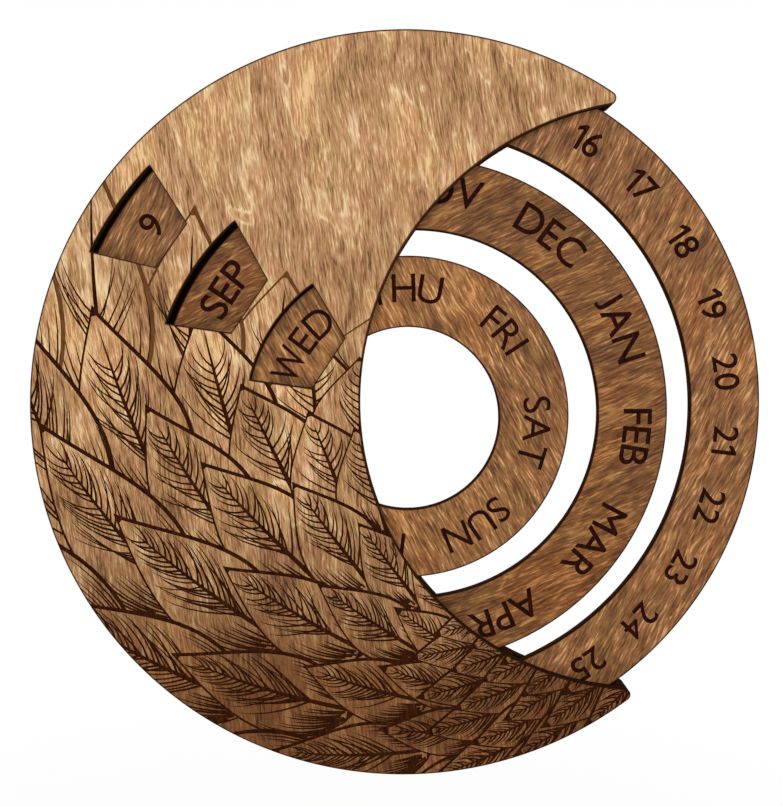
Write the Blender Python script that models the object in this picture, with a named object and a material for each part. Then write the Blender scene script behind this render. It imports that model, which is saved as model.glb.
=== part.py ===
# Wall calendar of three rings that turn inside a crescent, all cut from plywood sheet.
# Seen from the front along +Y: +X is to the right, +Z is up, and the wall is at y = 0.
# The origin is the hanging point: the middle of the hanging slot's top edge, in the wall plane.
import math

import bmesh
import bpy
from mathutils import Matrix, Vector

MM = 0.001

# Sheet thicknesses, and the glue line between two glued layers
COVER_THICKNESS = 3.0 * MM
GUIDE_THICKNESS = 4.0 * MM
RING_THICKNESS = 3.0 * MM
BACK_THICKNESS = 3.0 * MM
GLUE_LINE = 0.1 * MM

# From the middle outwards: the core, three rings with guides between them, and the rim.
# Each ring has play on both sides before it meets a guide.
CORE_RADIUS = 32.9 * MM
RING_WIDTH = 27.4 * MM
RING_PLAY = 3.0 * MM
GUIDE_WIDTH = 3.2 * MM
RIM_WIDTH = 5.5 * MM

# The round bite that makes the plates crescents: it leaves this much of the core, on the left.
# The two tips are rounded.
BITE_RADIUS = 115.2 * MM
CORE_GUIDE_WIDTH = 14.5 * MM
BITE_DIRECTION = math.radians(2.9)
TIP_RADIUS = 2.5 * MM

# Where each loose ring lies in its channel, as shares of its play, to the right and up
DATE_RING_SHIFT_SHARES = (0.87, 0.2)
MONTH_RING_SHIFT_SHARES = (0.87, -0.2)
WEEKDAY_RING_SHIFT_SHARES = (0.07, -0.43)

# The windows: an arc outside, a straight edge inside. Directions turn from +X towards +Z.
# The insets are from the ring's outer and inner edge to the arc and to the straight edge's middle.
DATE_WINDOW = {
    "direction": math.radians(144.1),
    "outer_inset": 0.8 * MM,
    "outer_width": 39.4 * MM,
    "inner_inset": 2.0 * MM,
    "inner_width": 20.2 * MM,
}
MONTH_WINDOW = {
    "direction": math.radians(145.2),
    "outer_inset": 0.7 * MM,
    "outer_width": 47.0 * MM,
    "inner_inset": 1.6 * MM,
    "inner_width": 24.5 * MM,
}
WEEKDAY_WINDOW = {
    "direction": math.radians(146.3),
    "outer_inset": 0.8 * MM,
    "outer_width": 43.9 * MM,
    "inner_inset": 1.2 * MM,
    "inner_width": 23.1 * MM,
}

# The slot that hangs on a pin in the wall, with small notches to level the calendar by
SLOT_WIDTH = 26.0 * MM
SLOT_HEIGHT = 6.0 * MM
NOTCH_COUNT = 5
NOTCH_PITCH = 4.0 * MM
NOTCH_RADIUS = 1.2 * MM

# The hanging point: left of the crescent's middle, above the centre of gravity, and below its top
HANG_LEFT = 30.0 * MM
HANG_BELOW_TOP = 21.0 * MM

# How far cutters run past what they cut, and how finely round edges are stepped
CUT_OVERRUN = 2.0 * MM
EDGE_STEP = 6.0 * MM
CORNER_STEPS = 8

# Colours are linear red, green and blue
COVER_COLOUR = (0.56, 0.33, 0.15)
RING_COLOUR = (0.42, 0.22, 0.10)
GUIDE_COLOUR = (0.30, 0.17, 0.08)
BACK_COLOUR = (0.48, 0.28, 0.13)
STAINED_ROUGHNESS = 0.55
RAW_ROUGHNESS = 0.7

# Places along Y, from the wall forwards
BACK_FRONT_FACE = -BACK_THICKNESS
GUIDE_BACK_FACE = BACK_FRONT_FACE - GLUE_LINE
GUIDE_FRONT_FACE = GUIDE_BACK_FACE - GUIDE_THICKNESS
COVER_BACK_FACE = GUIDE_FRONT_FACE - GLUE_LINE
COVER_FRONT_FACE = COVER_BACK_FACE - COVER_THICKNESS
RING_BACK_FACE = (BACK_FRONT_FACE + COVER_BACK_FACE + RING_THICKNESS) / 2
RING_FRONT_FACE = RING_BACK_FACE - RING_THICKNESS

# Sizes in the plane of the calendar
RING_PITCH = RING_WIDTH + 2 * RING_PLAY + GUIDE_WIDTH
WEEKDAY_RING_RADIUS = CORE_RADIUS + RING_PLAY + RING_WIDTH
MONTH_RING_RADIUS = WEEKDAY_RING_RADIUS + RING_PITCH
DATE_RING_RADIUS = MONTH_RING_RADIUS + RING_PITCH
CRESCENT_RADIUS = DATE_RING_RADIUS + RING_PLAY + RIM_WIDTH
BITE_DISTANCE = BITE_RADIUS + CORE_GUIDE_WIDTH - CORE_RADIUS
HANG_UP = CRESCENT_RADIUS - HANG_BELOW_TOP


def clear_scene():
    for thing in list(bpy.data.objects):
        bpy.data.objects.remove(thing, do_unlink=True)


def make_material(name, colour, roughness):
    material = bpy.data.materials.new(name)
    material.use_nodes = True
    shader = material.node_tree.nodes["Principled BSDF"]
    shader.inputs["Base Color"].default_value = (*colour, 1.0)
    shader.inputs["Roughness"].default_value = roughness
    shader.inputs["Metallic"].default_value = 0.0
    return material


def steps_round(radius):
    # An even count, so that a circle has a step at both ends of each diameter
    return 2 * math.ceil(math.pi * radius / EDGE_STEP)


def on_circle(radius, direction):
    # A point in the plane of the calendar, at y = 0
    return Vector((radius * math.cos(direction), 0.0, radius * math.sin(direction)))


def extrude_outline(bm, points, back, front):
    # A flat outline is filled at the back, and pulled forwards to the front
    corners = [bm.verts.new((point.x, back, point.z)) for point in points]
    face = bm.faces.new(corners)
    pulled = bmesh.ops.extrude_face_region(bm, geom=[face])["geom"]
    moved = [part for part in pulled if isinstance(part, bmesh.types.BMVert)]
    bmesh.ops.translate(bm, verts=moved, vec=(0.0, front - back, 0.0))


def add_disc(bm, radius, back, front):
    steps = steps_round(radius)
    flat = Matrix.Rotation(math.pi / 2, 4, "X")
    depth = back - front
    middle = Matrix.Translation((0.0, (back + front) / 2, 0.0))
    bmesh.ops.create_cone(
        bm, cap_ends=True, segments=steps, radius1=radius, radius2=radius, depth=depth, matrix=middle @ flat
    )


def add_annulus(bm, outer_radius, inner_radius, back, front):
    # The four-sided section is spun once round the Y axis
    section = [
        bm.verts.new((outer_radius, front, 0.0)),
        bm.verts.new((outer_radius, back, 0.0)),
        bm.verts.new((inner_radius, back, 0.0)),
        bm.verts.new((inner_radius, front, 0.0)),
    ]
    edges = [bm.edges.new((section[i - 1], section[i])) for i in range(len(section))]
    bmesh.ops.spin(
        bm,
        geom=section + edges,
        cent=(0.0, 0.0, 0.0),
        axis=(0.0, 1.0, 0.0),
        angle=2 * math.pi,
        steps=steps_round(outer_radius),
        use_merge=True,
    )


def make_object(name, bm, parent, material=None):
    bmesh.ops.recalc_face_normals(bm, faces=bm.faces)
    mesh = bpy.data.meshes.new(name)
    bm.to_mesh(mesh)
    bm.free()
    mesh.shade_smooth()
    mesh.set_sharp_from_angle(angle=math.radians(30))
    thing = bpy.data.objects.new(name, mesh)
    bpy.context.collection.objects.link(thing)
    thing.parent = parent
    if material:
        mesh.materials.append(material)
    return thing


def make_axis(name, location, parent=None):
    axis = bpy.data.objects.new(name, None)
    bpy.context.collection.objects.link(axis)
    axis.location = location
    axis.parent = parent
    return axis


def make_cutter(name, bm, parent):
    cutter = make_object(name, bm, parent)
    cutter.hide_render = True
    cutter.display_type = "WIRE"
    return cutter


def cut_away(thing, cutter):
    cut = thing.modifiers.new("cut by " + cutter.name, "BOOLEAN")
    cut.operation = "DIFFERENCE"
    cut.solver = "EXACT"
    cut.object = cutter


def bite_cutter(centre):
    bm = bmesh.new()
    add_disc(bm, BITE_RADIUS, CUT_OVERRUN, COVER_FRONT_FACE - CUT_OVERRUN)
    bmesh.ops.translate(bm, verts=bm.verts, vec=on_circle(BITE_DISTANCE, BITE_DIRECTION))
    return make_cutter("bite", bm, centre)


def arc_points(middle, radius, start, end, steps):
    # The last point is left out, because the next arc starts there
    turn = (end - start) / steps
    return [middle + on_circle(radius, start + turn * i) for i in range(steps)]


def arc_steps(radius, start, end):
    return math.ceil(abs(end - start) * radius / EDGE_STEP)


def rim_points(start, end):
    # Stepped from quarter to quarter, so that the top, the left and the bottom are exact
    quarters = [math.pi / 2, math.pi, 3 * math.pi / 2]
    points = []
    for begin, finish in zip([start] + quarters, quarters + [end]):
        steps = arc_steps(CRESCENT_RADIUS, begin, finish)
        points += arc_points(Vector((0.0, 0.0, 0.0)), CRESCENT_RADIUS, begin, finish, steps)
    return points


def crescent_outline():
    # Each tip's rounding touches the rim from inside and the bite from outside
    to_rim = CRESCENT_RADIUS - TIP_RADIUS
    to_bite = BITE_RADIUS + TIP_RADIUS
    across = (to_rim**2 + BITE_DISTANCE**2 - to_bite**2) / (2 * BITE_DISTANCE)
    rim_angle = math.acos(across / to_rim)
    bite_angle = math.acos((across - BITE_DISTANCE) / to_bite)
    turned = BITE_DIRECTION
    upper_tip = on_circle(to_rim, turned + rim_angle)
    lower_tip = on_circle(to_rim, turned - rim_angle)
    bite_middle = on_circle(BITE_DISTANCE, turned)
    bite_end = turned + bite_angle
    bite_start = turned - bite_angle + 2 * math.pi
    steps = arc_steps(BITE_RADIUS, bite_start, bite_end)
    points = rim_points(turned + rim_angle, turned - rim_angle + 2 * math.pi)
    lower_end = turned - bite_angle + math.pi
    points += arc_points(lower_tip, TIP_RADIUS, turned - rim_angle, lower_end, CORNER_STEPS)
    points += arc_points(bite_middle, BITE_RADIUS, bite_start, bite_end, steps)
    points += arc_points(upper_tip, TIP_RADIUS, bite_end - math.pi, turned + rim_angle, CORNER_STEPS)
    return points


def crescent_plate(name, back, front, material, centre):
    bm = bmesh.new()
    extrude_outline(bm, crescent_outline(), back, front)
    return make_object(name, bm, centre, material)


def window_outline(window, ring_radius):
    outer = ring_radius - window["outer_inset"]
    half_span = math.asin(window["outer_width"] / 2 / outer)
    steps = math.ceil(window["outer_width"] / EDGE_STEP)
    start = window["direction"] - half_span
    points = [on_circle(outer, start + 2 * half_span * i / steps) for i in range(steps + 1)]
    inner = ring_radius - RING_WIDTH + window["inner_inset"]
    middle = on_circle(inner, window["direction"])
    half_edge = on_circle(window["inner_width"] / 2, window["direction"] + math.pi / 2)
    return points + [middle + half_edge, middle - half_edge]


def window_cutter(name, window, ring_radius, centre):
    bm = bmesh.new()
    back = COVER_BACK_FACE + CUT_OVERRUN
    extrude_outline(bm, window_outline(window, ring_radius), back, COVER_FRONT_FACE - CUT_OVERRUN)
    return make_cutter(name, bm, centre)


def slot_outline():
    # Round ends, and the notches along the top edge, which is the edge that rests on the pin
    end = SLOT_HEIGHT / 2
    half_straight = SLOT_WIDTH / 2 - end
    turn = math.pi / CORNER_STEPS
    points = []
    for side in (1, -1):
        for i in range(CORNER_STEPS + 1):
            around = side * math.pi / 2 - math.pi + turn * i
            points.append(Vector((side * half_straight, 0.0, 0.0)) + on_circle(end, around))
        if side == 1:
            points += notch_points()
    return [point - Vector((0.0, 0.0, end + NOTCH_RADIUS)) for point in points]


def notch_points():
    top = SLOT_HEIGHT / 2
    turn = math.pi / CORNER_STEPS
    points = []
    for i in range(NOTCH_COUNT):
        across = ((NOTCH_COUNT - 1) / 2 - i) * NOTCH_PITCH
        for j in range(CORNER_STEPS + 1):
            points.append(Vector((across, 0.0, top)) + on_circle(NOTCH_RADIUS, turn * j))
    return points


def slot_cutter():
    # The slot is placed from the hanging point itself, so it stays at the origin
    bm = bmesh.new()
    extrude_outline(bm, slot_outline(), CUT_OVERRUN, BACK_FRONT_FACE - CUT_OVERRUN)
    return make_cutter("hanging slot", bm, None)


def front_cover(centre):
    material = make_material("golden stained birch", COVER_COLOUR, STAINED_ROUGHNESS)
    cover = crescent_plate("front_cover", COVER_BACK_FACE, COVER_FRONT_FACE, material, centre)
    for name, window, ring_radius in (
        ("date window", DATE_WINDOW, DATE_RING_RADIUS),
        ("month window", MONTH_WINDOW, MONTH_RING_RADIUS),
        ("weekday window", WEEKDAY_WINDOW, WEEKDAY_RING_RADIUS),
    ):
        cut_away(cover, window_cutter(name, window, ring_radius, centre))


def back_plate(centre):
    material = make_material("birch back", BACK_COLOUR, RAW_ROUGHNESS)
    plate = crescent_plate("back_plate", 0.0, BACK_FRONT_FACE, material, centre)
    cut_away(plate, slot_cutter())


def rim_guide(centre):
    # What is left of the crescent outside the date ring's channel
    material = make_material("rim_guide birch", GUIDE_COLOUR, RAW_ROUGHNESS)
    rim = crescent_plate("rim_guide", GUIDE_BACK_FACE, GUIDE_FRONT_FACE, material, centre)
    bm = bmesh.new()
    back = GUIDE_BACK_FACE + CUT_OVERRUN
    add_disc(bm, DATE_RING_RADIUS + RING_PLAY, back, GUIDE_FRONT_FACE - CUT_OVERRUN)
    cut_away(rim, make_cutter("date channel", bm, centre))


def guide_arc(name, ring_radius, centre, bite):
    inner_radius = ring_radius + RING_PLAY
    bm = bmesh.new()
    add_annulus(bm, inner_radius + GUIDE_WIDTH, inner_radius, GUIDE_BACK_FACE, GUIDE_FRONT_FACE)
    material = make_material(name + " birch", GUIDE_COLOUR, RAW_ROUGHNESS)
    cut_away(make_object(name, bm, centre, material), bite)


def core_guide(centre, bite):
    # What the bite leaves of a disc inside the smallest ring
    bm = bmesh.new()
    add_disc(bm, CORE_RADIUS, GUIDE_BACK_FACE, GUIDE_FRONT_FACE)
    material = make_material("core_guide birch", GUIDE_COLOUR, RAW_ROUGHNESS)
    cut_away(make_object("core_guide", bm, centre, material), bite)


def guides(centre):
    bite = bite_cutter(centre)
    rim_guide(centre)
    guide_arc("date_month_guide", MONTH_RING_RADIUS, centre, bite)
    guide_arc("month_weekday_guide", WEEKDAY_RING_RADIUS, centre, bite)
    core_guide(centre, bite)


def ring(name, radius, shift_shares, centre):
    # The ring turns about its own middle, so an empty stands there
    right, up = (share * RING_PLAY for share in shift_shares)
    axis = make_axis(name + "_axis", (right, 0.0, up), centre)
    bm = bmesh.new()
    add_annulus(bm, radius, radius - RING_WIDTH, RING_BACK_FACE, RING_FRONT_FACE)
    material = make_material(name + " stained birch", RING_COLOUR, STAINED_ROUGHNESS)
    make_object(name, bm, axis, material)


def rings(centre):
    ring("date_ring", DATE_RING_RADIUS, DATE_RING_SHIFT_SHARES, centre)
    ring("month_ring", MONTH_RING_RADIUS, MONTH_RING_SHIFT_SHARES, centre)
    ring("weekday_ring", WEEKDAY_RING_RADIUS, WEEKDAY_RING_SHIFT_SHARES, centre)


def main():
    clear_scene()
    centre = make_axis("crescent_centre", (HANG_LEFT, 0.0, -HANG_UP))
    front_cover(centre)
    guides(centre)
    rings(centre)
    back_plate(centre)


main()
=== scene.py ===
import math
import random

import bmesh
import bpy
from mathutils import Matrix, Vector
from mathutils.geometry import delaunay_2d_cdt
from mathutils.kdtree import KDTree


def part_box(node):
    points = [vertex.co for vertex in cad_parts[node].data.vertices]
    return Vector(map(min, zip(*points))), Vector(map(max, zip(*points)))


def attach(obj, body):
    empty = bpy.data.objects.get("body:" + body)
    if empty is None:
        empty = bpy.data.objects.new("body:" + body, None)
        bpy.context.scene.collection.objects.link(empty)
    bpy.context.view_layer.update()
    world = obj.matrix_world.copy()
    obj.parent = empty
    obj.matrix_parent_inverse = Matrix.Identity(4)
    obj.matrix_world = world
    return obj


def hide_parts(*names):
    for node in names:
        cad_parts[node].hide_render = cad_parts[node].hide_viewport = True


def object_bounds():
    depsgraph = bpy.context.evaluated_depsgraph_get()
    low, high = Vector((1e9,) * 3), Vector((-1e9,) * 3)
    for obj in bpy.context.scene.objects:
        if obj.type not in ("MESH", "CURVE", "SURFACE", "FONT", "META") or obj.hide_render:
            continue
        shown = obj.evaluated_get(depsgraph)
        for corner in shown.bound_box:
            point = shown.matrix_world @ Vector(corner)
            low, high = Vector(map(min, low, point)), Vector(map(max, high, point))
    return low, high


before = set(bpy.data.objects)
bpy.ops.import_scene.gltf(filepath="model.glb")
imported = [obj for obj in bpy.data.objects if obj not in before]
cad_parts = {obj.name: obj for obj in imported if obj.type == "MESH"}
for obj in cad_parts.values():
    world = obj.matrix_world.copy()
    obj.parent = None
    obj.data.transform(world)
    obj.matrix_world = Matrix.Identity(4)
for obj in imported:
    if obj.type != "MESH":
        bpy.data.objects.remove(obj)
cadLow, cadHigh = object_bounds()
print("frame loaded:", len(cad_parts), "CAD nodes")

mm = 0.001

# Outlines are flat lists of (right, up) in mm, about the middle of the crescent or of a ring.

# The crescent, with the round bite that opens it to the right and two rounded tips
crescent = {
    "radius": 145.0,
    "biteRadius": 115.2,
    "biteDistance": 96.8,
    "biteAngle": math.radians(2.9),
    "tipRadius": 2.5,
}

coverLow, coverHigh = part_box("front_cover")
crescentMiddle = Vector((coverLow.x + crescent["radius"] * mm, 0.0, (coverLow.z + coverHigh.z) / 2))

# What the laser leaves: no engraving right at a cut, and a scorched line and a brown halo along it.
# Here and below, a pair whose name ends in Between is where a colour or a finish sets in and is full.
laserCut = {
    "arcStep": 1.3,
    "arcTurn": math.radians(12),
    "engravingStops": 0.3,
    "engravingDepth": 0.35,
    "scorchStep": 0.25,
    "burntBetween": (0.48, 0.72),
    "burntShare": 0.95,
    "haloWidth": 1.2,
    "haloBetween": (0.7, 1.5),
    "haloShare": 0.6,
    "haloFray": 0.9,
    "reliefDepth": 0.08,
    "smoothAngle": math.radians(30),
    "cornerWithin": 1e-5,
    "weldWithin": 0.0002,
}

# Painted shade along the cover's bite, a dark band for its shaded cut wall and the gap beneath: its widths
# where it is broadest and beyond its reach
biteShade = {"broadestAt": 60.0, "reach": 55.0, "widths": (1.25, 0.7), "fade": (0.75, 1.15)}


def polar(radius, angle):
    return (radius * math.cos(angle), radius * math.sin(angle))


def arc(radius, start, end, middle=(0.0, 0.0)):
    # in steps that are short enough on a big arc and many enough on a small one
    turn = abs(end - start)
    count = math.ceil(max(turn * radius / laserCut["arcStep"], turn / laserCut["arcTurn"]))
    points = [polar(radius, start + (end - start) * i / count) for i in range(count + 1)]
    return [(middle[0] + x, middle[1] + z) for x, z in points]


def circle(radius):
    # without its last point, which is the first one again
    return arc(radius, 0.0, 2 * math.pi)[:-1]


def leftwards(loop):
    # the same closed outline, always run round with its inside on the left
    area = sum(x0 * z1 - x1 * z0 for (x0, z0), (x1, z1) in zip(loop, loop[1:] + loop[:1]))
    return loop if area > 0 else loop[::-1]


def offsetLoop(loop, inset):
    # moves a closed outline inwards by inset, or outwards where it is negative
    loop = leftwards(loop)
    moved = []
    for before, here, after in zip(loop[-1:] + loop[:-1], loop, loop[1:] + loop[:1]):
        here = Vector(here)
        first = (here - Vector(before)).normalized().orthogonal()
        second = (Vector(after) - here).normalized().orthogonal()
        moved.append(tuple(here + (first + second) * inset / (1 + first.dot(second))))
    return moved


def crescentOutline():
    # each tip's rounding touches the rim from inside and the bite from outside
    c = crescent
    toRim, toBite = c["radius"] - c["tipRadius"], c["biteRadius"] + c["tipRadius"]
    across = (toRim**2 + c["biteDistance"] ** 2 - toBite**2) / (2 * c["biteDistance"])
    rim = math.acos(across / toRim)
    bite = math.acos((across - c["biteDistance"]) / toBite)
    turned, back = c["biteAngle"], c["biteAngle"] + 2 * math.pi
    tips = [polar(toRim, turned - rim), polar(toRim, turned + rim)]
    biteMiddle = polar(c["biteDistance"], turned)
    loop = arc(c["radius"], turned + rim, back - rim)[:-1]
    loop += arc(c["tipRadius"], turned - rim, turned - bite + math.pi, tips[0])[:-1]
    loop += arc(c["biteRadius"], back - bite, turned + bite, biteMiddle)[:-1]
    return loop + arc(c["tipRadius"], turned + bite - math.pi, turned + rim, tips[1])[:-1]


# Materials


def colour(text):
    # an sRGB hex value as linear red, green, blue and alpha
    parts = [int(text[i : i + 2], 16) / 255 for i in (1, 3, 5)]
    return [p / 12.92 if p <= 0.04045 else ((p + 0.055) / 1.055) ** 2.4 for p in parts] + [1.0]


def addNode(tree, kind, settings=None, inputs=None, stops=None):
    # inputs are plain values or sockets; stops are the colours of a ramp
    node = tree.nodes.new("ShaderNode" + kind)
    for name, value in (settings or {}).items():
        setattr(node, name, value)
    for name, value in (inputs or {}).items():
        if isinstance(value, bpy.types.NodeSocket):
            tree.links.new(value, node.inputs[name])
        else:
            node.inputs[name].default_value = value
    for i, (place, shade) in enumerate(stops or []):
        ramp = node.color_ramp.elements
        stop = ramp[i] if i < len(ramp) else ramp.new(place)
        stop.position = place
        stop.color = colour(shade)
    return node


def maths(tree, operation, *values):
    return addNode(tree, "Math", {"operation": operation}, dict(enumerate(values))).outputs[0]


def vectorMaths(tree, operation, *values):
    return addNode(tree, "VectorMath", {"operation": operation}, dict(enumerate(values))).outputs


def ranged(tree, value, low, high, to=(0.0, 1.0)):
    inputs = {"Value": value, "From Min": low, "From Max": high, "To Min": to[0], "To Max": to[1]}
    return addNode(tree, "MapRange", {}, inputs).outputs[0]


def mixed(tree, factor, first, second, blend="MIX"):
    node = addNode(tree, "Mix", {"data_type": "RGBA", "blend_type": blend}, {0: factor, 6: first, 7: second})
    return node.outputs[2]


def summed(tree, *parts):
    # parts are (socket, share), added up
    total = 0.0
    for socket, share in parts:
        total = maths(tree, "MULTIPLY_ADD", socket, share, total)
    return total


def newMaterial(name):
    material = bpy.data.materials.new(name)
    material.use_nodes = True
    tree = material.node_tree
    shader = tree.nodes["Principled BSDF"]
    return material, tree, shader


def setRelief(tree, shader, height, strength):
    # height is a noise that is felt as a fine relief
    inputs = {"Strength": strength, "Distance": laserCut["reliefDepth"] * mm, "Height": height}
    tree.links.new(addNode(tree, "Bump", {}, inputs).outputs[0], shader.inputs["Normal"])


def setDry(shader, finish):
    # what is burnt has one even, dull finish
    shader.inputs["Roughness"].default_value = finish["roughness"]
    shader.inputs["Specular IOR Level"].default_value = finish["gloss"]


def grainNoise(tree, place, angle, size, seed, detail=3.0, rough=0.55, twist=0.0):
    # noise drawn out along the grain at angle; size is across and along it, in mm
    inputs = {"Vector": place, "Rotation": (0.0, -angle, 0.0), "Scale": (size[1] * mm, 1.0, size[0] * mm)}
    space = addNode(tree, "Mapping", {"vector_type": "TEXTURE"}, inputs)
    inputs = {"Vector": space.outputs[0], "W": seed, "Scale": 1.0, "Detail": detail}
    inputs.update({"Roughness": rough, "Distortion": twist})
    return addNode(tree, "TexNoise", {"noise_dimensions": "4D"}, inputs).outputs["Fac"]


def bent(tree, place, wander):
    # moves places sideways by a slow noise, so that straight grain wanders; wander is (how far, over what)
    inputs = {"Vector": place, "Scale": 1 / (wander[1] * mm), "Detail": 2.0}
    noise = addNode(tree, "TexNoise", {}, inputs).outputs["Color"]
    far = wander[0] * mm
    offset = vectorMaths(tree, "MULTIPLY_ADD", noise, (2 * far, 2 * far, 2 * far), (-far, -far, -far))[0]
    return vectorMaths(tree, "ADD", place, offset)[0]


# The noises that a veneer's figure is made of, each (seed, detail, roughness, twist)
figureNoises = {
    "streak": (0.0, 4.0, 0.6, 0.3),
    "fibre": (1.7, 2.0, 0.55, 0.0),
    "patch": (3.1, 3.0, 0.55, 0.8),
    "flame": (5.9, 2.0, 0.5, 1.0),
    "hue": (6.4, 3.0, 0.55, 0.0),
    "vessel": (8.3, 2.0, 0.55, 0.0),
}


def stainedTone(tree, wood, figure):
    # dark to pale along the streaks, warmer where the flame is, and of two hues
    tone = summed(tree, *[(figure[part], share) for part, share in wood["shares"].items()])
    tone = ranged(tree, tone, wood["darkAt"], wood["lightAt"])
    stops = [(i / (len(wood["shades"]) - 1), shade) for i, shade in enumerate(wood["shades"])]
    base = addNode(tree, "ValToRGB", {}, {"Fac": tone}, stops).outputs[0]
    warm = ranged(tree, figure["flame"], *wood["warmBetween"], (0.0, wood["warmShare"]))
    base = mixed(tree, warm, base, colour(wood["warmTint"]), "MULTIPLY")
    hue = ranged(tree, figure["hue"], *wood["hueBetween"])
    hue = mixed(tree, hue, colour(wood["hues"][0]), colour(wood["hues"][1]))
    return mixed(tree, 1.0, base, hue, "MULTIPLY")


def paleWaves(tree, wood, figure, base):
    # the thin wavy lines of the flame figure, outside the dark patches
    wave = summed(tree, (figure["flame"], 1.0), (figure["streak"], wood["waveFray"]))
    off = maths(tree, "ABSOLUTE", maths(tree, "SUBTRACT", wave, wood["waveAt"]))
    onWave = ranged(tree, off, 0.0, wood["waveWidth"], (wood["waveShare"], 0.0))
    onWave = maths(tree, "MULTIPLY", onWave, ranged(tree, figure["patch"], *wood["waveBetween"]))
    return mixed(tree, onWave, base, colour(wood["waveColour"]))


def burntBite(tree, place, height):
    # painted shade: a dark band along the bite's long cut, broader than the scorch at the other cuts, most
    # of all above the middle
    x, z = polar(crescent["biteDistance"] * mm, crescent["biteAngle"])
    toBite = (-crescentMiddle.x - x, 0.0, -crescentMiddle.z - z)
    away = vectorMaths(tree, "MULTIPLY_ADD", place, (1.0, 0.0, 1.0), toBite)[0]
    away = vectorMaths(tree, "LENGTH", away)["Value"]
    off = maths(tree, "SUBTRACT", height, crescentMiddle.z + biteShade["broadestAt"] * mm)
    off = maths(tree, "ABSOLUTE", off)
    width = ranged(tree, off, 0.0, biteShade["reach"] * mm, [width * mm for width in biteShade["widths"]])
    away = maths(tree, "SUBTRACT", away, crescent["biteRadius"] * mm)
    away = maths(tree, "DIVIDE", away, width)
    return ranged(tree, away, *biteShade["fade"], (laserCut["burntShare"], 0.0))


def stainedVeneer(name, wood):
    # Rotary-cut birch veneer, sanded, stained and oiled: short vessel streaks along the grain, brown
    # patches, the pale wavy lines of its flame figure, satin gloss, and scorch beside every laser cut.
    material, tree, shader = newMaterial(name)
    straight = addNode(tree, "TexCoord").outputs["Object"]
    place = bent(tree, straight, wood["wander"])
    figure = {}
    for part, (seed, *noise) in figureNoises.items():
        figure[part] = grainNoise(tree, place, wood["grainAngle"], wood[part], wood["seed"] + seed, *noise)
    base = paleWaves(tree, wood, figure, stainedTone(tree, wood, figure))
    dash = ranged(tree, figure["vessel"], *wood["vesselBetween"], (0.0, wood["vesselShare"]))
    base = mixed(tree, dash, base, colour(wood["vesselColour"]))
    base = mixed(tree, 1.0, base, colour(wood["stain"]), "MULTIPLY")
    scorch = addNode(tree, "Attribute", {"attribute_name": "scorch"}).outputs["Fac"]
    scorchAndBiteShade = ranged(tree, scorch, *laserCut["burntBetween"], (0.0, laserCut["burntShare"]))
    if "smokeTint" in wood:
        # the cover alone is smoked brown towards its foot and has a broad band of painted shade along the
        # bite
        height = addNode(tree, "SeparateXYZ", {}, {0: straight}).outputs["Z"]
        smoke = ranged(tree, height, wood["smokeFrom"], wood["smokeTo"])
        base = mixed(tree, smoke, base, colour(wood["smokeTint"]), "MULTIPLY")
        scorchAndBiteShade = maths(tree, "MAXIMUM", scorchAndBiteShade, burntBite(tree, straight, height))
    patchy = summed(tree, (figure["streak"], laserCut["haloFray"]), (scorch, 1.0))
    halo = ranged(tree, patchy, *laserCut["haloBetween"], (0.0, laserCut["haloShare"]))
    base = mixed(tree, halo, base, colour(wood["haloColour"]))
    # the scorch colour paints the real scorch and, on the cover, the painted shade along the bite
    base = mixed(tree, scorchAndBiteShade, base, colour(wood["scorchColour"]))
    tree.links.new(base, shader.inputs["Base Color"])
    roughness = ranged(tree, figure["fibre"], *wood["roughBetween"], wood["roughness"])
    tree.links.new(roughness, shader.inputs["Roughness"])
    # no sheen is left on the scorch, nor on the painted shade along the bite
    gloss = ranged(tree, scorchAndBiteShade, 0.0, laserCut["burntShare"], (wood["gloss"], 0.0))
    tree.links.new(gloss, shader.inputs["Specular IOR Level"])
    setRelief(tree, shader, summed(tree, (figure["streak"], 0.5), (figure["fibre"], 0.5)), wood["relief"])
    return material


def burntEdge(name, shown, other):
    # Laser-cut plywood edge: three plies charred nearly black, the middle one a little browner because
    # its end grain chars less evenly, with the fine upright kerf lines of the laser across them.
    material, tree, shader = newMaterial(name)
    place = addNode(tree, "TexCoord").outputs["Object"]
    inputs = {"Vector": place, "Scale": kerfLines["size"]}
    space = addNode(tree, "Mapping", {"vector_type": "TEXTURE"}, inputs).outputs[0]
    kerf = addNode(tree, "TexNoise", {}, {"Vector": space, "Scale": 1.0, "Detail": 2.0}).outputs["Fac"]
    depth = addNode(tree, "SeparateXYZ", {}, {0: place}).outputs["Y"]
    plies = addNode(tree, "ValToRGB", {}, {"Fac": ranged(tree, depth, shown, other)}, kerfLines["plies"])
    char = addNode(tree, "ValToRGB", {}, {"Fac": kerf}, kerfLines["char"])
    base = mixed(tree, kerfLines["charShare"], plies.outputs[0], char.outputs[0])
    tree.links.new(base, shader.inputs["Base Color"])
    setDry(shader, kerfLines)
    setRelief(tree, shader, kerf, kerfLines["relief"])
    return material


def engravedLine(name, line):
    # Raster-engraved birch: the laser leaves a dry, matt burnt floor, mottled by the grain it crosses.
    material, tree, shader = newMaterial(name)
    place = addNode(tree, "TexCoord").outputs["Object"]
    mottle = grainNoise(tree, place, goldenBirch["grainAngle"], line["mottle"], line["seed"])
    shades = addNode(tree, "ValToRGB", {}, {"Fac": mottle}, line["shades"])
    tree.links.new(shades.outputs[0], shader.inputs["Base Color"])
    setDry(shader, line)
    setRelief(tree, shader, mottle, line["relief"])
    return material


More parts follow.
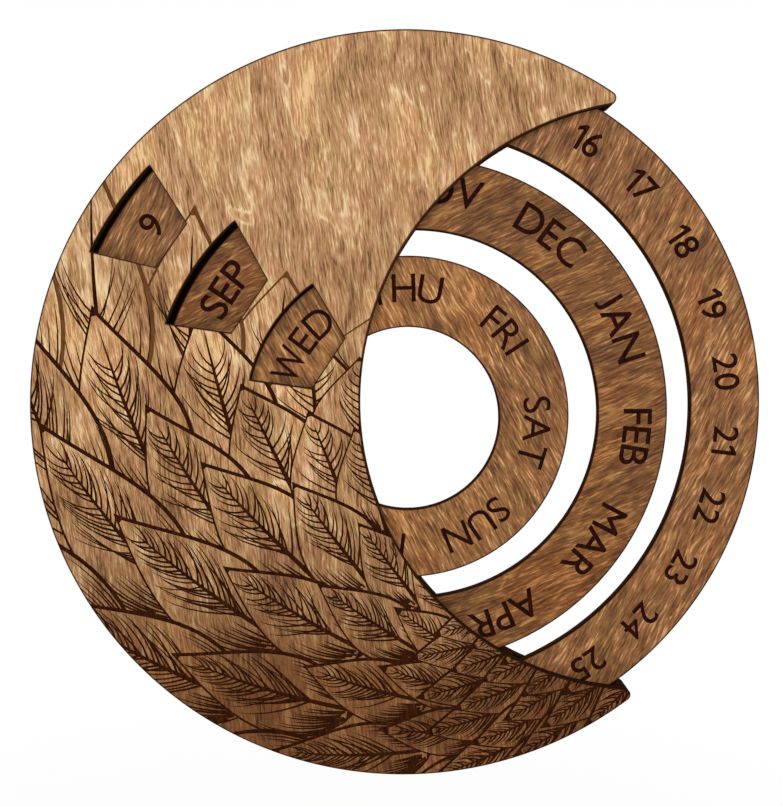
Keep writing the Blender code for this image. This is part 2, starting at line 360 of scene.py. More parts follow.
# Sizes of the figure are (across the grain, along it) in mm
goldenBirch = {
    "grainAngle": math.radians(98),
    "seed": 2.0,
    "wander": (2.2, 22.0),
    "streak": (0.8, 9.0),
    "fibre": (0.45, 3.6),
    "patch": (3.6, 22.0),
    "flame": (24.0, 50.0),
    "vessel": (0.55, 4.5),
    "hue": (3.5, 9.0),
    "hues": ("#ffefe4", "#fdf8e2"),
    "hueBetween": (0.4, 0.6),
    "shares": {"streak": 0.68, "fibre": 0.42, "patch": 0.24, "flame": 0.52},
    "darkAt": 0.76,
    "lightAt": 1.095,
    "shades": ("#5c3c23", "#9b7551", "#b89672", "#dfc9a8"),
    "stain": "#ffffff",
    "warmTint": "#fbe8d2",
    "warmShare": 0.7,
    "warmBetween": (0.45, 0.65),
    "waveAt": 0.6,
    "waveWidth": 0.022,
    "waveFray": 0.1,
    "waveShare": 0.75,
    "waveBetween": (0.42, 0.62),
    "waveColour": "#ead0a4",
    "vesselShare": 0.55,
    "vesselBetween": (0.57, 0.68),
    "vesselColour": "#7d5230",
    "haloColour": "#7a4c26",
    "scorchColour": "#26120a",
    "roughness": (0.45, 0.62),
    "roughBetween": (0.3, 0.7),
    "gloss": 0.14,
    "relief": 0.4,
}
brownBirch = dict(
    goldenBirch,
    streak=(0.85, 9.0),
    fibre=(0.6, 3.4),
    patch=(4.5, 16.0),
    vessel=(0.7, 5.5),
    vesselShare=0.2,
    shares={"streak": 0.72, "fibre": 0.34, "patch": 0.36, "flame": 0.2},
    darkAt=0.69,
    lightAt=0.95,
    shades=("#573a23", "#7e5938", "#976f4b", "#d2ac81"),
    warmTint="#f6dcc0",
    waveColour="#c0925e",
    vesselColour="#4f301a",
    haloColour="#4f2d15",
    scorchColour="#24100a",
)
kerfLines = {
    "size": (0.35 * mm, 9.0 * mm, 0.35 * mm),
    "plies": [(0.0, "#1a0d08"), (0.31, "#22120a"), (0.35, "#4a2b16"), (0.65, "#4a2b16"), (0.69, "#22120a")],
    "char": [(0.3, "#0e0704"), (0.7, "#3a2110")],
    "charShare": 0.45,
    "roughness": 0.85,
    "gloss": 0.0,
    "relief": 0.4,
}
deepLine = {
    "mottle": (0.9, 5.0),
    "seed": 4.4,
    "shades": [(0.25, "#1c0a04"), (0.6, "#371a0b"), (0.85, "#5a3217")],
    "roughness": 0.85,
    "gloss": 0.0,
    "relief": 0.5,
}
paleLine = dict(deepLine, shades=[(0.25, "#4a2c16"), (0.6, "#6b4526"), (0.85, "#835833")])
letterLine = dict(deepLine, shades=[(0.25, "#160807"), (0.6, "#2c130c"), (0.85, "#4a2716")])

deepLines = engravedLine("deep laser engraving in birch", deepLine)
paleLines = engravedLine("shallow laser engraving in birch", paleLine)
letterLines = engravedLine("deep laser engraving in brown birch", letterLine)
print("engraving materials made")

# The numbers of the material slots on each plate
plainFace, cutEdge, darkInk, paleInk = range(4)


def layOut(shapes):
    # shapes are (mark, outline); the plate's plane is cut into triangles that know the marks round them
    points, loops = [], []
    for _, loop in shapes:
        loops.append(list(range(len(points), len(points) + len(loop))))
        points += [Vector(point) for point in leftwards(loop)]
    made = delaunay_2d_cdt(points, [], loops, 1, laserCut["cornerWithin"], True)
    return made[0], made[2], [[shapes[i][0] for i in found] for found in made[5]]


def flatPlace(corner, middle):
    # a corner's place in the plane of its plate, in mm about the middle
    return ((corner.co.x - middle.x) / mm, (corner.co.z - middle.z) / mm)


def scorchAt(tree, point):
    # 1 at a laser cut, 0 beyond its halo
    _, _, distance = tree.find((*point, 0.0))
    return max(0.0, 1.0 - distance / laserCut["haloWidth"])


def addFace(bm, shapes, inkOf, scorch, nearCut, middle, level):
    # one side of a plate: its engraved places are told by their material, its scorch is painted on
    points, triangles, marks = layOut(shapes)
    shades = [scorchAt(nearCut, point) for point in points]
    corners = [bm.verts.new((middle.x + x * mm, level, middle.z + z * mm)) for x, z in points]
    for triangle, found in zip(triangles, marks):
        words = [word for word, _ in found]
        if "plate" not in words or "hole" in words:
            continue
        face = bm.faces.new([corners[i] for i in triangle])
        if inkOf and "limit" in words and "holeLimit" not in words:
            face.material_index = inkOf(found)
        for loop, i in zip(face.loops, triangle):
            loop[scorch] = shades[i]


def sinkEngraving(bm, depth):
    # pushes the engraved places into the wood and darkens the walls round them
    engraved = [face for face in bm.faces if face.material_index > 0]
    if not engraved:
        return
    before = set(bm.faces)
    region = engraved + list({part for face in engraved for part in (*face.edges, *face.verts)})
    pushed = bmesh.ops.extrude_face_region(bm, geom=region)["geom"]
    floor = {part for part in pushed if isinstance(part, bmesh.types.BMFace)}
    moved = [part for part in pushed if isinstance(part, bmesh.types.BMVert)]
    bmesh.ops.translate(bm, verts=moved, vec=(0.0, depth, 0.0))
    for face in bm.faces:
        if face not in before and face not in floor:
            face.material_index = darkInk


def cutsToMeasureFrom(loops):
    # points close together along every cut, in a tree that finds the nearest
    points = []
    for loop in loops:
        for here, following in zip(loop, loop[1:] + loop[:1]):
            step = Vector(following) - Vector(here)
            count = math.ceil(step.length / laserCut["scorchStep"])
            points += [Vector(here) + step * i / count for i in range(count)]
    tree = KDTree(len(points))
    for i, point in enumerate(points):
        tree.insert((*point, 0.0), i)
    tree.balance()
    return tree


def strungOut(pairs):
    # the closed chains that pairs of neighbours make up
    links = {}
    for first, second in pairs:
        links.setdefault(first, []).append(second)
        links.setdefault(second, []).append(first)
    chains, seen = [], set()
    for here in links:
        chain = []
        while here is not None and here not in seen:
            seen.add(here)
            chain.append(here)
            here = next((near for near in links[here] if near not in seen), None)
        if chain:
            chains.append(chain)
    return chains


def widthOf(loop):
    across = [x for x, _ in loop]
    return max(across) - min(across)


def plateShapes(outline, holes):
    # the cuts, then where the engraving stops and where the scorch beside the cuts ends
    shapes = [(("plate", 0), outline)] + [(("hole", 0), hole) for hole in holes]
    for word, inset in (("limit", laserCut["engravingStops"]), ("halo", laserCut["haloWidth"])):
        shapes.append(((word, 0), offsetLoop(outline, inset)))
        shapes += [(("hole" + word.capitalize(), 0), offsetLoop(hole, -inset)) for hole in holes]
    return shapes


def dropWalls(bm, thickness):
    # the cut edges, from the rims of the first side to where the other side will be
    rim = [edge for edge in bm.edges if edge.is_boundary]
    wall = bmesh.ops.extrude_edge_only(bm, edges=rim)["geom"]
    low = [part for part in wall if isinstance(part, bmesh.types.BMVert)]
    bmesh.ops.translate(bm, verts=low, vec=(0.0, thickness, 0.0))
    for face in (part for part in wall if isinstance(part, bmesh.types.BMFace)):
        face.material_index = cutEdge


def openRims(bm, middle):
    # the open rims with every corner that the marks have left in them, the plate's own outline first
    rims = strungOut([edge.verts for edge in bm.edges if edge.is_boundary])
    rims = [[flatPlace(corner, middle) for corner in rim] for rim in rims]
    return sorted(rims, key=widthOf, reverse=True)


def closedObject(name, bm):
    # the corners of what lay beyond the plate are left over
    unused = [corner for corner in bm.verts if not corner.link_faces]
    bmesh.ops.delete(bm, geom=unused, context="VERTS")
    bmesh.ops.remove_doubles(bm, verts=bm.verts, dist=laserCut["weldWithin"] * mm)
    bmesh.ops.recalc_face_normals(bm, faces=bm.faces)
    mesh = bpy.data.meshes.new(name)
    bm.to_mesh(mesh)
    bm.free()
    mesh.shade_smooth()
    mesh.set_sharp_from_angle(angle=laserCut["smoothAngle"])
    made = bpy.data.objects.new(name, mesh)
    bpy.context.scene.collection.objects.link(made)
    return made


def cutPlate(name, outline, holes, middle, levels, veneer, inks=(), marked=(), inkOf=None, lining=None):
    # a flat plate of plywood: two faces, the engraving sunk in the first one, the cut edge between them;
    # levels are the depths of both faces, and inkOf and lining choose the material where marks overlap
    shown, other = levels
    nearCut = cutsToMeasureFrom([outline] + holes)
    shapes = plateShapes(outline, holes)
    bm = bmesh.new()
    scorch = bm.loops.layers.float.new("scorch")
    addFace(bm, shapes + list(marked), inkOf, scorch, nearCut, middle, shown)
    sinkEngraving(bm, math.copysign(laserCut["engravingDepth"] * mm, other - shown))
    dropWalls(bm, other - shown)
    rims = openRims(bm, middle)
    shapes[: len(rims)] = [(("hole" if i else "plate", 0), rim) for i, rim in enumerate(rims)]
    addFace(bm, shapes, lining, scorch, nearCut, middle, other)
    plate = closedObject(name, bm)
    for material in (veneer, burntEdge("charred edge, " + name, shown, other), *inks):
        plate.data.materials.append(material)
    print(name, "cut:", len(plate.data.polygons), "faces")
    return plate


def inside(point, loop):
    # whether a ray to the right crosses the outline an odd number of times
    x, z = point
    odd = False
    for (x0, z0), (x1, z1) in zip(loop, loop[1:] + loop[:1]):
        if (z0 > z) != (z1 > z) and x < x0 + (z - z0) * (x1 - x0) / (z1 - z0):
            odd = not odd
    return odd


# The cover's ornament: rows of plain leaves that overlap from the lower tip upwards, large and sparse
# at the top, small and dense at the bottom. Rows follow each other round the crescent, and lanes lie side
# by side across it. The room is how far it is there from the bite to the rim, and leaves are coarse where
# there is coarseRoom and fine where it is less by fineWithin.
foliage = {
    "seed": 11,
    "firstRow": math.radians(182),
    "lastRow": math.radians(322),
    "rowShare": 0.235,
    "lanes": 4,
    "laneFrom": 0.02,
    "laneSpan": 0.97,
    "leastRoom": 56.0,
    "coarseRoom": 126.5,
    "fineWithin": 100.0,
    "darkestAt": 105.0,
    "lookAhead": 0.03,
}

# One leaf: sizes in mm, turns in radians; spreads are random ranges. The first number of a bend is for
# the middle lane and the second is added outwards. The first one of an edge, a rib, a vein's width or a
# pitch is for a coarse leaf, and the second is added for a fine one, the third for one low down.
# The edge's line takes these shares of its width on the lit and on the shaded side, and a leaf narrower
# than the last share has nothing inside its edge.
leafForm = {
    "fan": 0.5,
    "swaySpread": (-0.05, 0.05),
    "bend": (-0.16, -0.45),
    "leastLength": 5.0,
    "lengthPerTurn": 1.9,
    "lengthPerRoom": 0.16,
    "lengthSpread": (0.93, 1.07),
    "leastWidth": 1.0,
    "widthPerLane": 1.3,
    "widthOutwards": 0.1,
    "widestPower": 0.72,
    "pointedPower": 1.05,
    "outlineSteps": 20,
    "edge": (1.3, -0.55),
    "edgeShares": (0.7, 1.3, 1.25),
    "rib": (2.3, -1.0),
    "ribLength": 0.9,
    "ribSteps": 10,
    "lineSteps": 5,
    "taperPower": 0.6,
}

# Side veins leave the midrib from one share of the leaf's length to another, of which the first row has
# only a part and each next row more. They stop at shares of its half width, as the shading lines' lanes.
veins = {
    "from": 0.24,
    "to": 0.82,
    "firstRow": 0.5,
    "nextRows": 0.35,
    "run": 0.38,
    "runSpread": (0.8, 1.2),
    "shorterPower": 0.8,
    "stopSpread": (0.5, 0.92),
    "bowPower": 0.85,
    "width": (0.9, -0.2, 0.1),
    "widthSpread": (0.7, 1.0),
    "pitch": (2.6, -1.0),
    "pitchLow": -0.2,
    "pitchSpread": (0.85, 1.15),
    "pitchGrowth": 0.6,
}
shading = {
    "lines": 5,
    "startSpread": (0.05, 0.12),
    "stopSpread": (0.75, 1.0),
    "stopShare": 0.8,
    "stopPower": 1.2,
    "lanes": (0.2, 0.76),
    "laneSpread": (0.2, 0.8),
    "widthSpread": (0.9, 1.2),
}


def stroke(line, wide):
    # the outline of an engraved line that thins out to a point
    left, right = [], []
    last = len(line) - 1
    for i in range(last):
        along = (Vector(line[i + 1]) - Vector(line[max(i - 1, 0)])).normalized()
        side = along.orthogonal() * wide / 2 * (1 - i / last) ** leafForm["taperPower"]
        left.append(tuple(Vector(line[i]) + side))
        right.append(tuple(Vector(line[i]) - side))
    return left + [line[last]] + right[::-1]


def roomAt(angle):
    # how far it is from the bite to the rim
    c = crescent
    biteX, biteZ = polar(c["biteDistance"], c["biteAngle"])
    along = biteX * math.cos(angle) + biteZ * math.sin(angle)
    near = along + math.sqrt(max(0.0, along**2 - c["biteDistance"] ** 2 + c["biteRadius"] ** 2))
    return max(c["radius"] - near, foliage["leastRoom"])


def ribPoint(leaf, share):
    # the midrib is a gentle arc from the leaf's base
    half = leaf["bend"] * share / 2
    reach = leaf["length"] * share * (math.sin(half) / half if half else 1.0)
    x, z = polar(reach, leaf["heading"] + half)
    return (leaf["base"][0] + x, leaf["base"][1] + z)


def halfWidth(leaf, share):
    swell = max(0.0, math.sin(math.pi * share ** leafForm["widestPower"]))
    return leaf["width"] / 2 * swell ** leafForm["pointedPower"]


def onLeaf(leaf, share, across):
    x, z = ribPoint(leaf, share)
    heading = leaf["heading"] + leaf["bend"] * share
    return (x - math.sin(heading) * across, z + math.cos(heading) * across)


def leafOutline(leaf, line=0.0):
    # line is taken off inside the edge, less on the left than on the right, as if in shade
    left, right = [], []
    steps = leafForm["outlineSteps"]
    lit, shaded, least = leafForm["edgeShares"]
    for i in range(steps + 1):
        half = halfWidth(leaf, i / steps)
        if line and half < line * least:
            continue
        left.append(onLeaf(leaf, i / steps, half - line * lit))
        right.append(onLeaf(leaf, i / steps, line * shaded - half))
    if not line:
        right = right[1:-1]
    return left + right[::-1]


def leafLine(leaf, start, run, side, sweep):
    # a line that goes on for run from start, both shares of the leaf's length; sweep gives how far out it
    # is at each step, as a share of the leaf's half width
    steps = leafForm["lineSteps"]
    points = []
    for i in range(steps + 1):
        share = start + run * i / steps
        points.append(onLeaf(leaf, share, side * halfWidth(leaf, share) * sweep(i / steps)))
    return points


def midrib(leaf):
    steps = leafForm["ribSteps"]
    return stroke([ribPoint(leaf, leafForm["ribLength"] * i / steps) for i in range(steps + 1)], leaf["rib"])


def sideVeins(leaf, chance):
    # pairs of lines that leave the midrib and sweep towards the tip
    lines = []
    pitch = leaf["veinPitch"] / leaf["length"]
    share = veins["from"]
    while share < veins["to"] * leaf["drawn"]:
        for side in (1, -1):
            stop = chance.uniform(*veins["stopSpread"])
            run = veins["run"] * chance.uniform(*veins["runSpread"]) * (1 - share) ** veins["shorterPower"]
            start = share + side * pitch / 4
            line = leafLine(leaf, start, run, side, lambda t: stop * t ** veins["bowPower"])
            lines.append(stroke(line, leaf["veinWidth"] * chance.uniform(*veins["widthSpread"])))
        share += pitch * chance.uniform(*veins["pitchSpread"]) * (1 + veins["pitchGrowth"] * share)
    return lines


def shadingLines(leaf, chance):
    # lines from the leaf's base to where the first veins are
    lines = []
    count = shading["lines"] + round(shading["lines"] * leaf["low"])
    laneFrom, laneSpan = shading["lanes"]
    for side in (1, -1):
        for i in range(count):
            lane = laneFrom + laneSpan * (i + chance.uniform(*shading["laneSpread"])) / count
            start = chance.uniform(*shading["startSpread"])
            stop = veins["from"] + veins["run"] * shading["stopShare"] * lane ** shading["stopPower"]
            run = (stop - start) * chance.uniform(*shading["stopSpread"])
            line = leafLine(leaf, start, run, side, lambda t: lane)
            lines.append(stroke(line, leaf["veinWidth"] * chance.uniform(*shading["widthSpread"])))
    return lines


def newLeaf(angle, share, turn, row, chance):
    # starts at angle, at a share of the way from the bite to the rim, and points along its lane;
    # turn is the step to the next row
    room = roomAt(angle)
    radius = crescent["radius"] - room + share * room
    base = polar(radius, angle)
    further = angle - foliage["lookAhead"]
    ahead = polar(crescent["radius"] - roomAt(further) * (1 - share), further)
    out = share - 0.5
    fine = min(1.0, (foliage["coarseRoom"] - room) / foliage["fineWithin"])
    low = min(1.0, max(0.0, -base[1] / foliage["darkestAt"]))
    heading = math.atan2(ahead[1] - base[1], ahead[0] - base[0]) + out * leafForm["fan"]
    heading += chance.uniform(*leafForm["swaySpread"])
    length = turn * radius * leafForm["lengthPerTurn"] + leafForm["lengthPerRoom"] * room
    width = room / foliage["lanes"] * leafForm["widthPerLane"] + leafForm["leastWidth"]
    leaf = {
        "base": base,
        "heading": heading,
        "bend": leafForm["bend"][0] + leafForm["bend"][1] * out,
        "length": length * chance.uniform(*leafForm["lengthSpread"]) + leafForm["leastLength"],
        "width": width * (1 + leafForm["widthOutwards"] * out),
        "edge": leafForm["edge"][0] + leafForm["edge"][1] * fine,
        "rib": leafForm["rib"][0] + leafForm["rib"][1] * fine,
        "veinWidth": veins["width"][0] + veins["width"][1] * fine + veins["width"][2] * low,
        "veinPitch": (veins["pitch"][0] + veins["pitch"][1] * fine) * (1 + veins["pitchLow"] * low),
        "drawn": min(1.0, veins["firstRow"] + veins["nextRows"] * row),
        "low": low,
        "pale": row == 0,
    }
    leaf["lines"] = [midrib(leaf)] + sideVeins(leaf, chance) + shadingLines(leaf, chance)
    leaf["outline"] = leafOutline(leaf)
    return leaf


def growLeaves():
    chance = random.Random(foliage["seed"])
    leaves = []
    angle = foliage["firstRow"]
    row = 0
    while angle < foliage["lastRow"]:
        room = roomAt(angle)
        turn = foliage["rowShare"] * room / (crescent["radius"] - room + room / 2)
        staggered = row % 2
        for lane in range(foliage["lanes"] + 1 - staggered):
            share = foliage["laneFrom"] + foliage["laneSpan"] * (lane + staggered / 2) / foliage["lanes"]
            leaves.append(newLeaf(angle, share, turn, row, chance))
        angle += turn
        row += 1
    return leaves


def showing(line, covering, outline):
    # whether any of an engraved line's points is on the plate and not under another leaf
    for point in line[:: leafForm["lineSteps"] // 2]:
        if inside(point, outline) and not any(inside(point, over) for over in covering):
            return True
    return False


# The windows from the outermost ring's inwards, each an arc outside and a straight edge inside
windows = (
    {"towards": math.radians(144.1), "arcAt": 135.7, "arcWidth": 39.4, "edgeAt": 111.1, "edgeWidth": 20.2},
    {"towards": math.radians(145.2), "arcAt": 99.2, "arcWidth": 47.0, "edgeAt": 74.1, "edgeWidth": 24.5},
    {"towards": math.radians(146.3), "arcAt": 62.5, "arcWidth": 43.9, "edgeAt": 37.1, "edgeWidth": 23.1},
)


def windowOutline(window):
    towards = window["towards"]
    half = math.asin(window["arcWidth"] / 2 / window["arcAt"])
    rounded = arc(window["arcAt"], towards - half, towards + half)
    middle = Vector(polar(window["edgeAt"], towards))
    along = Vector(polar(window["edgeWidth"] / 2, towards + math.pi / 2))
    return rounded + [tuple(middle + along), tuple(middle - along)]


# What the cover's stain has more: smoke between two heights, in metres
coverStain = {"smokeFrom": -0.15, "smokeTo": -0.23, "smokeTint": "#a48a6f"}


def engraveCover():
    # the leaves are laid in the order in which they grew, so each covers the ones before it
    leaves = growLeaves()
    outline = crescentOutline()
    marked = []
    for i, leaf in enumerate(leaves):
        reach = 2 * leaf["length"]
        near = [over for over in leaves[i + 1 :] if math.dist(over["base"], leaf["base"]) < reach]
        covering = [over["outline"] for over in near]
        marked.append((("leaf", i), leaf["outline"]))
        marked.append((("inside", i), leafOutline(leaf, leaf["edge"])))
        shown = [line for line in leaf["lines"] if showing(line, covering, outline)]
        marked += [(("line", i), line) for line in shown]

    def inkOf(marks):
        # the leaf on top decides: its edge is a line, and inside it only its own veins show
        top = max((i for word, i in marks if word == "leaf"), default=None)
        if top is None:
            return plainFace
        if ("inside", top) not in marks:
            return paleInk if leaves[top]["pale"] else darkInk
        return darkInk if ("line", top) in marks else plainFace

    veneer = stainedVeneer("golden stained birch veneer, cover", dict(goldenBirch, **coverStain))
    holes = [windowOutline(window) for window in windows]
    levels = (coverLow.y, coverHigh.y)
    inks = (deepLines, paleLines)
    cover = cutPlate("engraved_cover", outline, holes, crescentMiddle, levels, veneer, inks, marked, inkOf)
    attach(cover, "crescent")
    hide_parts("front_cover")


engraveCover()

# Lettering, cut one letter at a time so that a word follows its ring; sizes in cap heights
lettering = {
    "fontCap": 0.682,
    "curveSteps": 6,
    "leastStep": 0.004,
    "narrowed": {"W": 0.8, "M": 0.95},
    "one": [(0.22, 0.0), (0.36, 0.0), (0.36, 1.0), (0.25, 1.0), (0.0, 0.83), (0.0, 0.68), (0.22, 0.81)],
}


def thinned(points):
    # leaves out points that are nearly in the same place as the last or the first one
    loop = []
    for point in points:
        if not loop or min((point - end).length for end in (loop[0], loop[-1])) > lettering["leastStep"]:
            loop.append(point)
    return loop


def letterLoops(letter):
    # the outlines of a letter from its left edge and its foot, and its width
    if letter == "1":
        loops = [[Vector(point) for point in lettering["one"]]]
    else:
        curve = bpy.data.curves.new("letter " + letter, "FONT")
        curve.body = letter
        curve.fill_mode = "NONE"
        curve.resolution_u = lettering["curveSteps"]
        writing = bpy.data.objects.new("letter " + letter, curve)
        mesh = bpy.data.meshes.new_from_object(writing)
        chains = strungOut([tuple(edge.vertices) for edge in mesh.edges])
        loops = [thinned([mesh.vertices[i].co.to_2d() for i in chain]) for chain in chains]
        bpy.data.meshes.remove(mesh)
        bpy.data.objects.remove(writing)
        bpy.data.curves.remove(curve)
    across = [p.x for loop in loops for p in loop]
    upwards = [p.y for loop in loops for p in loop]
    wide = lettering["narrowed"].get(letter, 1.0) / (1.0 if letter == "1" else lettering["fontCap"])
    tall = 1 / (max(upwards) - min(upwards))
    loops = [[((p.x - min(across)) * wide, (p.y - min(upwards)) * tall) for p in loop] for loop in loops]
    return sorted(loops, key=widthOf, reverse=True), (max(across) - min(across)) * wide


letters = {letter: letterLoops(letter) for letter in "0123456789ABCDEFGHIJLMNOPRSTUVWY"}
print("letters ready:", len(letters))


def writeWord(word, ring, angle, first):
    # letters stand outwards and read clockwise; returns marked outlines
    cap, gap = ring["capHeight"], ring["letterGap"]
    widths = [letters[letter][1] * cap for letter in word]
    total = sum(widths) + gap * (len(word) - 1)
    foot = ring["textRadius"] - cap / 2
    marked, done = [], 0.0
    for i, letter in enumerate(word):
        turned = angle + (total / 2 - done - widths[i] / 2) / ring["textRadius"]
        up, right = Vector(polar(1.0, turned)), Vector(polar(1.0, turned - math.pi / 2))
        for j, loop in enumerate(letters[letter][0]):
            placed = [tuple(up * (foot + y * cap) + right * (x * cap - widths[i] / 2)) for x, y in loop]
            bolder = ring["bolder"] if j else -ring["bolder"]
            marked.append((("letter", first + i), offsetLoop(placed, bolder)))
        done += widths[i] + gap
    return marked


def letterInk(marks):
    # an odd number of a letter's outlines round a place means that it is inked
    rings = [i for word, i in marks if word == "letter"]
    return darkInk if any(rings.count(i) % 2 for i in rings) else plainFace


ringWidth = 27.4
dateRing = {
    "piece": "engraved_date_ring",
    "node": "date_ring",
    "body": "date_dial",
    "radius": 136.5,
    "width": ringWidth,
    "textRadius": 124.0,
    "shownAt": math.radians(144.2),
    "capHeight": 9.8,
    "letterGap": 1.3,
    "figureRoom": 7.04,
    "bolder": 0.12,
    "grainAngle": math.radians(64),
    "seed": 21.0,
    "stain": "#f2ebe2",
}
monthRing = {
    "piece": "engraved_month_ring",
    "node": "month_ring",
    "body": "month_dial",
    "radius": 99.9,
    "width": ringWidth,
    "textRadius": 88.3,
    "shownAt": math.radians(145.9),
    "capHeight": 11.0,
    "letterGap": 1.3,
    "bolder": 0.13,
    "grainAngle": math.radians(24),
    "seed": 33.0,
    "stain": "#d5c9b2",
}
weekdayRing = {
    "piece": "engraved_weekday_ring",
    "node": "weekday_ring",
    "body": "weekday_dial",
    "radius": 63.3,
    "width": ringWidth,
    "textRadius": 51.0,
    "shownAt": math.radians(144.9),
    "capHeight": 10.7,
    "letterGap": 1.2,
    "bolder": 0.03,
    "grainAngle": math.radians(118),
    "seed": 47.0,
    "stain": "#fffaf0",
}
dates = [str(day) for day in range(1, 32)]
months = "JAN FEB MAR APR MAY JUN JUL AUG SEP OCT NOV DEC".split()
weekdays = "MON TUE WED THU FRI SAT SUN".split()


def engraveRing(ring, words):
    # words are (word, angle) round the ring
    low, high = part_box(ring["node"])
    middle = (low + high) / 2
    marked, first = [], 0
    for word, angle in words:
        marked += writeWord(word, ring, angle, first)
        first += len(word)
    wood = dict(brownBirch, grainAngle=ring["grainAngle"], seed=ring["seed"], stain=ring["stain"])
    veneer = stainedVeneer("brown stained birch veneer, " + ring["node"], wood)
    holes = [circle(ring["radius"] - ring["width"])]
    levels = (low.y, high.y)
    outline = circle(ring["radius"])
    inks = (letterLines,)
    plate = cutPlate(ring["piece"], outline, holes, middle, levels, veneer, inks, marked, letterInk)
    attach(plate, ring["body"])
    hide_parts(ring["node"])


def wordRoom(word, ring):
    # figures all take the same room; a wide letter takes more, by half of what it is wider
    if word.isdigit():
        return ring["figureRoom"] * len(word)
    return sum(letters[letter][1] for letter in word) * ring["capHeight"] / 2


def spaced(words, ring, shown):
    # clockwise round the ring with equal gaps, and with the shown word in its window
    rooms = [wordRoom(word, ring) for word in words]
    gap = (2 * math.pi * ring["textRadius"] - sum(rooms)) / len(words)
    places, at = [], 0.0
    for room in rooms:
        places.append((at + room / 2) / ring["textRadius"])
        at += room + gap
    turned = ring["shownAt"] + places[words.index(shown)]
    return [(word, turned - place) for word, place in zip(words, places)]


engraveRing(dateRing, spaced(dates, dateRing, "9"))
engraveRing(monthRing, spaced(months, monthRing, "SEP"))
engraveRing(weekdayRing, spaced(weekdays, weekdayRing, "WED"))

# The back plate, with the slot that hangs on a wall pin
slot = {"width": 26.0, "height": 6.0, "notches": 5, "notchPitch": 4.0, "notchRadius": 1.2, "cornerSteps": 8}


def slotOutline():
    # round ends, and notches along the top edge; its hanging point is at the frame's origin
    end = slot["height"] / 2
    straight = slot["width"] / 2 - end
    turn = math.pi / slot["cornerSteps"]
    points = []
    for side in (1, -1):
        for i in range(slot["cornerSteps"] + 1):
            x, z = polar(end, side * math.pi / 2 - math.pi + turn * i)
            points.append((side * straight + x, z))
        if side == 1:
            for n in range(slot["notches"]):
                across = ((slot["notches"] - 1) / 2 - n) * slot["notchPitch"]
                for j in range(slot["cornerSteps"] + 1):
                    x, z = polar(slot["notchRadius"], turn * j)
                    points.append((across + x, end + z))
    down = end + slot["notchRadius"]
    return [(x - crescentMiddle.x / mm, z - down - crescentMiddle.z / mm) for x, z in points]


backStain = {
    "grainAngle": math.radians(88),
    "seed": 71.0,
    "shades": ("#7d5a38", "#a77f58", "#be976f", "#d8b58b"),
    "shares": {"streak": 0.6, "fibre": 0.38, "patch": 0.3, "flame": 0.26},
    "darkAt": 0.62,
    "lightAt": 0.94,
    "warmShare": 0.35,
    "waveShare": 0.35,
    "roughness": (0.6, 0.75),
}
# the colours of the painted black shade inside the channels
channelShade = dict(deepLine, shades=[(0.25, "#0c0605"), (0.6, "#170c08"), (0.85, "#24140d")])


def channelStain():
    # Painted shade: birch coloured nearly black inside the rings' channels, so that the slits beside the
    # rings look dark as if in deep shade
    return engravedLine("painted black shade inside the channels", channelShade)


def lining(marks):
    # all of the inner side takes the dark slot, which holds the painted black shade, up to the cuts
    return darkInk


def cutBack():
    # its first face is the one against the wall, and its other one is the floor of the channels, painted
    # black as shade
    low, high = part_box("back_plate")
    veneer = stainedVeneer("plain stained birch veneer, back", dict(goldenBirch, **backStain))
    outline, holes = crescentOutline(), [slotOutline()]
    levels, inks = (high.y, low.y), (channelStain(),)
    back = cutPlate("cut_back_plate", outline, holes, crescentMiddle, levels, veneer, inks, (), None, lining)
    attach(back, "crescent")
    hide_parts("back_plate")


cutBack()


def guideFinish():
    # Spacer arcs of the same plywood: only their cut edges show, and those are charred
    low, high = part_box("rim_guide")
    edge = burntEdge("charred edge, guides", low.y, high.y)
    for node in ("rim_guide", "date_month_guide", "month_weekday_guide", "core_guide"):
        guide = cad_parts[node]
        guide.data.materials.clear()
        guide.data.materials.append(edge)


guideFinish()
print("guides finished")

# Camera, lights, floor and background. The camera's place is in mm about the middle of the cover's face.
photo = {
    "width": 783,
    "height": 806,
    "focalPixels": 827.8,
    "fromMiddle": (-13.47, 33.68),
    "distance": 318.92,
    "pan": math.radians(-1.283),
    "tilt": math.radians(-5.081),
    "roll": math.radians(-0.119),
    "sensor": 36.0,
    "nearest": 10.0,
    "furthest": 20000.0,
}

# Each lamp is (place, size, watts), in metres; all point at the middle of the crescent
lamps = {
    "soft key": ((-0.4, -1.15, 0.4), 0.7, 6.4),
    "soft fill": ((0.55, -1.1, 0.05), 0.9, 5.6),
    "soft back light": ((0.3, 1.1, 0.6), 1.0, 6.0),
}
room = {"lightStrength": 0.5, "seenStrength": 1.0, "white": "#ffffff"}
ground = {
    "below": 0.35,
    "reach": 4.0,
    "shade": "#e8e8e6",
    "roughness": 0.9,
    "fadeBetween": (0.25, 1.1),
    "fadeShares": (0.8, 1.0),
}


def placeCamera():
    right, up = photo["fromMiddle"]
    data = bpy.data.cameras.new("camera")
    data.sensor_width = photo["sensor"]
    data.lens = photo["focalPixels"] / max(photo["width"], photo["height"]) * data.sensor_width
    data.clip_start = photo["nearest"] * mm
    data.clip_end = photo["furthest"] * mm
    camera = bpy.data.objects.new("camera", data)
    bpy.context.scene.collection.objects.link(camera)
    place = crescentMiddle + Vector((right * mm, 0.0, up * mm))
    place.y = coverLow.y - photo["distance"] * mm
    aim = Matrix.Rotation(photo["pan"], 4, "Z") @ Matrix.Rotation(photo["tilt"], 4, "X")
    aim = aim @ Matrix.Rotation(photo["roll"], 4, "Y") @ Matrix.Rotation(math.pi / 2, 4, "X")
    camera.matrix_world = Matrix.Translation(place) @ aim
    bpy.context.scene.camera = camera


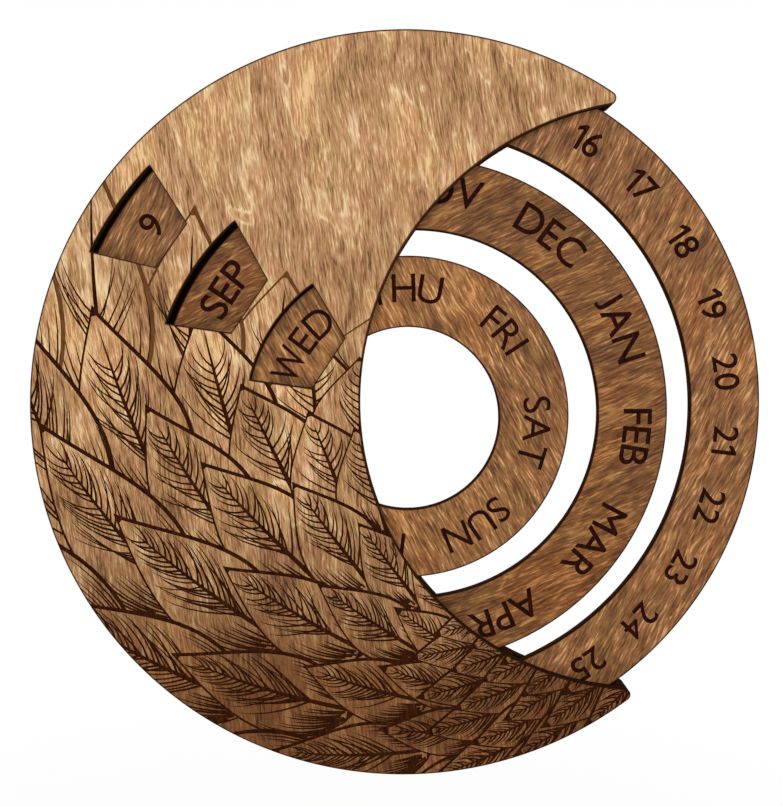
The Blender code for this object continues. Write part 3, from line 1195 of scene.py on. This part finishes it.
def addLight(name, place, size, watts):
    data = bpy.data.lights.new(name, "AREA")
    data.shape = "DISK"
    data.size = size
    data.energy = watts
    light = bpy.data.objects.new(name, data)
    light.location = place
    light.rotation_euler = (crescentMiddle - Vector(place)).to_track_quat("-Z", "Y").to_euler()
    bpy.context.scene.collection.objects.link(light)


def seenDirectly(tree):
    # 1 where the background is seen by the camera, in a reflection or through glass
    path = addNode(tree, "LightPath").outputs
    seen = path["Is Camera Ray"]
    for ray in ("Is Glossy Ray", "Is Transmission Ray"):
        seen = maths(tree, "MAXIMUM", seen, path[ray])
    return seen


def lightRoom():
    for name, lamp in lamps.items():
        addLight(name, *lamp)
    world = bpy.data.worlds.new("pale room")
    bpy.context.scene.world = world
    world.use_nodes = True
    tree = world.node_tree
    tree.nodes.clear()
    white = colour(room["white"])
    soft = addNode(tree, "Background", {}, {"Color": white, "Strength": room["lightStrength"]})
    seen = addNode(tree, "Background", {}, {"Color": white, "Strength": room["seenStrength"]})
    both = addNode(tree, "MixShader", {}, {0: seenDirectly(tree), 1: soft.outputs[0], 2: seen.outputs[0]})
    addNode(tree, "OutputWorld", {}, {"Surface": both.outputs[0]})


def layFloor():
    # a matt white floor well below the hanging calendar, which the camera sees fade into the white room
    material, tree, shader = newMaterial("matt white floor")
    shader.inputs["Base Color"].default_value = colour(ground["shade"])
    shader.inputs["Roughness"].default_value = ground["roughness"]
    place = addNode(tree, "TexCoord").outputs["Object"]
    away = vectorMaths(tree, "LENGTH", place)["Value"]
    fade = ranged(tree, away, *ground["fadeBetween"], ground["fadeShares"])
    share = maths(tree, "MULTIPLY", seenDirectly(tree), fade)
    glow = addNode(tree, "Emission", {}, {"Color": colour(room["white"]), "Strength": room["seenStrength"]})
    both = addNode(tree, "MixShader", {}, {0: share, 1: shader.outputs[0], 2: glow.outputs[0]})
    tree.links.new(both.outputs[0], tree.nodes["Material Output"].inputs["Surface"])
    bm = bmesh.new()
    bmesh.ops.create_grid(bm, x_segments=1, y_segments=1, size=ground["reach"])
    bmesh.ops.translate(bm, verts=bm.verts, vec=(0.0, 0.0, cadLow.z - ground["below"]))
    mesh = bpy.data.meshes.new("floor")
    bm.to_mesh(mesh)
    bm.free()
    mesh.materials.append(material)
    floor = bpy.data.objects.new("floor", mesh)
    bpy.context.scene.collection.objects.link(floor)


placeCamera()
lightRoom()
layFloor()
bpy.context.scene.view_settings.view_transform = "Standard"
print("camera, lights and floor placed")
